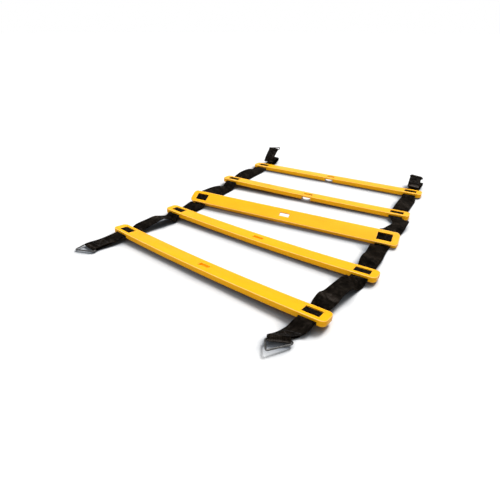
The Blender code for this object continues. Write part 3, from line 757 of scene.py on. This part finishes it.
def folded_end(main, lead_in, hand):
    """The strap with its loop round the ring's bar and the layer that is folded back below it.

    The lead-in is the edge pair before the loop on the solid, so that the bar lies on the ring's joint.
    Returns the edge pairs, the bar's middle, the directions forward, across and below, and the doubled
    stretch, which the stitching goes through.
    """
    def directions(i):
        before, after = main[max(i - 1, 0)], main[min(i + 1, len(main) - 1)]
        if i == len(main) - 1:
            before = lead_in
        forward = (middle_of(after) - middle_of(before)).normalized()
        across = (main[i][1] - main[i][0]).normalized()
        forward = (forward - across * forward.dot(across)).normalized()
        return forward, across, hand * forward.cross(across)

    forward, across, below = directions(len(main) - 1)
    centre = middle_of(main[-1]) + forward * LOOP_LEAD + below * (LAYER_STEP / 2)
    half = (main[-1][1] - main[-1][0]) / 2
    loop = []
    for step in range(LOOP_STEPS + 1):
        angle = pi * step / LOOP_STEPS
        middle = centre + forward * (sin(angle) * LOOP_RADIUS) - below * (cos(angle) * LOOP_RADIUS)
        loop.append((middle - half, middle + half))
    back = []
    doubled = []
    length = 0
    for i in range(len(main) - 1, 0, -1):
        way = directions(i)[2]
        back.append((main[i][0] + way * LAYER_STEP, main[i][1] + way * LAYER_STEP))
        doubled.append((main[i], way, length))
        length += (middle_of(main[i]) - middle_of(main[i - 1])).length
        if length > DOUBLED_LENGTH:
            break
    return main + loop + back, centre, forward, across, below, doubled


def join(shape, near, far):
    """Smooth faces between two rings of vertices."""
    for k in range(len(near)):
        beside = (k + 1) % len(near)
        face = shape.faces.new((near[k], near[beside], far[beside], far[k]))
        face.smooth = True


def stitch(shape, start, end, lift, radius):
    """One thread stitch, a short bowed tube that dips into the webbing at both ends."""
    way = (end - start).normalized()
    side = way.cross(lift).normalized()
    rings = []
    angles = [2 * pi * k / THREAD_SIDES for k in range(THREAD_SIDES)]
    for share, height in STITCH_BOW:
        middle = start.lerp(end, share) + lift * (height * radius)
        rings.append([shape.verts.new(middle + side * (cos(a) * radius) + lift * (sin(a) * radius))
                      for a in angles])
    for near, far in zip(rings, rings[1:]):
        join(shape, near, far)
    shape.faces.new(rings[0])
    shape.faces.new(rings[-1])


def stitching(name, doubled, body):
    """The sewn box with its cross that holds a folded strap end, on the strap's outer and inner face."""
    far = doubled[-1][2]

    def at(share_across, distance, face):
        """A point on a face of the strap, from its share across and its distance from the loop."""
        i = 0
        while i < len(doubled) - 2 and doubled[i + 1][2] < distance:
            i += 1
        (pair_a, way_a, run_a), (pair_b, way_b, run_b) = doubled[i], doubled[i + 1]
        t = (distance - run_a) / max(run_b - run_a, 1e-9)
        inner, outer = pair_a[0].lerp(pair_b[0], t), pair_a[1].lerp(pair_b[1], t)
        way = way_a.lerp(way_b, t).normalized()
        surface = STRAP_THICKNESS / 2 if face < 0 else STRAP_THICKNESS / 2 + LAYER_STEP
        return inner.lerp(outer, share_across) + way * (face * surface), way * face

    shape = bmesh.new()
    near_end, far_end = STITCH_INSET, min(far - STITCH_INSET, STITCH_BOX)
    low, high = STITCH_SIDE, 1 - STITCH_SIDE
    paths = (((low, near_end), (high, near_end)), ((high, near_end), (high, far_end)),
             ((high, far_end), (low, far_end)), ((low, far_end), (low, near_end)),
             ((low, near_end), (high, far_end)), ((high, near_end), (low, far_end)))
    for face in (-1, 1):
        for (a0, d0), (a1, d1) in paths:
            length = sqrt(((a1 - a0) * STRAP_WIDTH) ** 2 + (d1 - d0) ** 2)
            count = max(1, round(length / STITCH_LENGTH))
            for k in range(count):
                s, e = (k + STITCH_GAP) / count, (k + 1 - STITCH_GAP) / count
                first, lift = at(a0 + (a1 - a0) * s, d0 + (d1 - d0) * s, face)
                last, other = at(a0 + (a1 - a0) * e, d0 + (d1 - d0) * e, face)
                stitch(shape, first, last, (lift + other).normalized(), STITCH_THREAD)
    bmesh.ops.recalc_face_normals(shape, faces=shape.faces)
    made = link(name, from_bmesh(shape, name), THREAD)
    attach(made, body)


def rounded(corners, radii):
    """A closed outline with each corner replaced by an arc of its radius."""
    made = []
    for i, corner in enumerate(corners):
        to_last = (corners[i - 1] - corner).normalized()
        to_next = (corners[(i + 1) % len(corners)] - corner).normalized()
        half_angle = to_last.angle(to_next) / 2
        inwards = (to_last + to_next).normalized()
        middle = corner + inwards * (radii[i] / sin(half_angle))
        start = corner + to_last * (radii[i] * cos(half_angle) / sin(half_angle)) - middle
        end = corner + to_next * (radii[i] * cos(half_angle) / sin(half_angle)) - middle
        sweep = start.angle(end)
        for step in range(BEND_STEPS + 1):
            t = step / BEND_STEPS
            made.append(middle + (start * sin((1 - t) * sweep) + end * sin(t * sweep)) / sin(sweep))
    return made


def ring(name, centre, forward, across, below, width, swing, tip_share, node):
    """A triangular ring of round wire, with its straight bar in the strap's loop."""
    half = width / 2 + CLEARANCE + RING_WIRE / 2
    shoulder = LOOP_RADIUS + STRAP_THICKNESS / 2 + RING_WIRE / 2 + CLEARANCE
    away = (forward * cos(radians(swing)) - below * sin(radians(swing))).normalized()
    left = across if across.x < 0 else -across
    corners = [centre - left * half, centre - left * half + away * shoulder,
               centre + left * (half * tip_share) + away * RING_DEPTH,
               centre + left * half + away * shoulder, centre + left * half]
    points = rounded(corners, (RING_BEND, 2 * RING_BEND, RING_BEND, 2 * RING_BEND, RING_BEND))
    lift = left.cross(away).normalized()
    shape = bmesh.new()
    rings = []
    angles = [2 * pi * k / WIRE_SIDES for k in range(WIRE_SIDES)]
    for i, point in enumerate(points):
        way = (points[(i + 1) % len(points)] - points[i - 1]).normalized()
        outwards = way.cross(lift).normalized()
        rings.append([shape.verts.new(point + (outwards * cos(a) + lift * sin(a)) * (RING_WIRE / 2))
                      for a in angles])
    for near, far in zip(rings, rings[1:] + rings[:1]):
        join(shape, near, far)
    bmesh.ops.recalc_face_normals(shape, faces=shape.faces)
    made = link(name, from_bmesh(shape, name), STEEL)
    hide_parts(node)
    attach(made, node)


# Assembly

straight = {blind: slat_mesh(blind) for blind in (False, True)}
slats = [Slat(straight[shares[-1]], *shares[:-1]) for shares in SLAT_SHARES]
for number, slat in enumerate(slats, start=1):
    slat.mesh.transform(slat.frame @ slat.flip)
    made = link(f"moulded_slat_{number}", slat.mesh, PLASTIC)
    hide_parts(f"slat_{number}")
    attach(made, f"slat_{number}")
    for side in SIDES:
        made = webbing_piece(f"webbing_{side}_in_{number}", threaded(slat, side))
        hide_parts(f"strap_{side}_in_slat_{number}")
        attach(made, f"slat_{number}")

# Each bay's webbing between its two slats. The bay's fold, half way between them, is worked out but not
# used by the webbing
for number, (near, far) in enumerate(zip(slats, slats[1:]), start=1):
    ends = []
    for sign in SIDES.values():
        across = sign * STRAP_SPACING / 2
        ends.append((near.point(across, 0, 0) + far.point(across, 0, 0)) / 2)
    fold = (ends[0] + ends[1]) / 2
    fold.z = LADDER_PLACE.z + FLOOR_LEVEL + FOLD_SHARES[number - 1] * STRAP_RISE
    for side in SIDES:
        made = webbing_piece(f"webbing_{side}_{number}_to_{number + 1}",
                             span(near, far, side, SPAN_SHARES[side, number]))
        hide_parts(f"strap_{side}_{number}_to_{number + 1}")
        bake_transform(made)

for side in SIDES:
    for end, number in (("front", 1), ("back", 5)):
        pairs, centre, forward, across, below, doubled = tail(slats[number - 1], side, end)
        made = webbing_piece(f"webbing_{side}_{end}_end", pairs)
        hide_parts(f"strap_{side}_{end}_end")
        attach(made, f"slat_{number}")
        stitching(f"stitching_{side}_{end}", doubled, f"slat_{number}")
        ring(f"wire_ring_{side}_{end}", centre, forward, across, below, END_WIDTH[end],
             RING_SWING[side, end], RING_TIP_SHARES[side, end], f"ring_{side}_{end}")

# Camera
eye = Vector((0.2666, -0.60875, 0.3251)) + LADDER_PLACE
pitch, heading = radians(31.641), radians(30.0)
look = Vector((-cos(pitch) * sin(heading), cos(pitch) * cos(heading), -sin(pitch)))
camera = bpy.data.objects.new("camera", bpy.data.cameras.new("camera"))
camera.data.sensor_width = 36
camera.data.lens = 25.676
camera.data.clip_start = 0.01
camera.matrix_world = Matrix.Translation(eye) @ look.to_track_quat("-Z", "Y").to_matrix().to_4x4()
bpy.context.scene.collection.objects.link(camera)
bpy.context.scene.camera = camera


# Floor and world, which the camera and the reflections see as white

def seen_directly(nodes):
    """A value that is 1 for the camera's rays and for those that gloss and glass send on."""
    path = nodes.nodes.new("ShaderNodeLightPath").outputs
    return maths(nodes, "MAXIMUM", maths(nodes, "MAXIMUM", path["Is Camera Ray"], path["Is Glossy Ray"]),
                 path["Is Transmission Ray"])


floor_shape = bmesh.new()
bmesh.ops.create_grid(floor_shape, x_segments=1, y_segments=1, size=40.0)
floor = bpy.data.objects.new("floor", from_bmesh(floor_shape, "floor"))
bpy.context.scene.collection.objects.link(floor)
surface, nodes, shader = tree("white_floor")

# A painted shadow: the floor's colour as the camera sees it darkens by how much of the way to the far right
# is closed off above it
lean = add(nodes, "ShaderNodeCombineXYZ", X=0.42, Y=0.68, Z=0.60)
shade = add(nodes, "ShaderNodeAmbientOcclusion", samples=16)
shade.inputs["Distance"].default_value = 0.030
nodes.links.new(lean.outputs["Vector"], shade.inputs["Normal"])
shadow = ramp(nodes, shade.outputs["AO"], (0.18, (0.60, 0.62, 0.65)), (0.34, (0.15, 0.165, 0.185)),
              (0.66, (0.30, 0.325, 0.36)), (0.89, (0.98, 0.98, 0.98)))

# A painted pool of light, glowing in the floor's material, where light would fall through the open slots of
# the two far slats, on the floor below them
spot = nodes.nodes.new("ShaderNodeNewGeometry").outputs["Position"]
lit = 0.0
for slat in slats[3:]:
    below = slat.point(0, 0, 0) + SLOT_LIGHT
    away = add(nodes, "ShaderNodeVectorMath", operation="DISTANCE")
    nodes.links.new(spot, away.inputs[0])
    away.inputs[1].default_value = (below.x, below.y, 0)
    fade = maths(nodes, "SUBTRACT", SLOT_LENGTH / 2, away.outputs["Value"])
    fade = maths(nodes, "MINIMUM", maths(nodes, "DIVIDE", fade, SLOT_LIGHT_EDGE), 1.0)
    lit = maths(nodes, "MAXIMUM", lit, fade)
nodes.links.new(lit, shader.inputs["Emission Strength"])
shader.inputs["Emission Color"].default_value = (1.0, 1.0, 1.0, 1)
choice = add(nodes, "ShaderNodeMix", data_type="RGBA")
nodes.links.new(seen_directly(nodes), choice.inputs["Factor"])
choice.inputs["A"].default_value = (0.70, 0.70, 0.70, 1)
nodes.links.new(shadow, choice.inputs["B"])
nodes.links.new(choice.outputs["Result"], shader.inputs["Base Color"])
shader.inputs["Roughness"].default_value = 1.0
shader.inputs["Specular IOR Level"].default_value = 0.0
floor.data.materials.append(surface)


def sun(name, azimuth, elevation, power, softness, receivers):
    """A soft light for some objects. Azimuth 0 is the far end, and it grows clockwise from above."""
    lamp = bpy.data.lights.new(name, "SUN")
    lamp.energy = power
    lamp.angle = radians(softness)
    made = bpy.data.objects.new(name, lamp)
    bpy.context.scene.collection.objects.link(made)
    a, e = radians(azimuth), radians(elevation)
    way = Vector((sin(a) * cos(e), cos(a) * cos(e), sin(e)))
    made.matrix_world = way.to_track_quat("Z", "Y").to_matrix().to_4x4()
    made.light_linking.receiver_collection = receivers


# The floor and the ladder each have their own lights, so that both keep their brightness
ladder_only = bpy.data.collections.new("ladder_only")
for obj in bpy.context.scene.collection.objects:
    if obj.type in {"MESH", "CURVE"} and obj != floor:
        ladder_only.objects.link(obj)
floor_only = bpy.data.collections.new("floor_only")
floor_only.objects.link(floor)
sun("key", 20, 56, 2.6, 20, floor_only)
sun("bounce", 200, 62, 0.85, 60, floor_only)
sun("top", 20, 70, 1.45, 20, ladder_only)
sun("fill", 200, 82, 2.45, 60, ladder_only)

world = bpy.data.worlds.new("studio")
bpy.context.scene.world = world
world.use_nodes = True
sky = world.node_tree
background = sky.nodes["Background"]
background.inputs["Color"].default_value = (1, 1, 1, 1)
sky.links.new(remap(sky, seen_directly(sky), 0.24, 1.0), background.inputs["Strength"])
bpy.context.scene.view_settings.view_transform = "Standard"
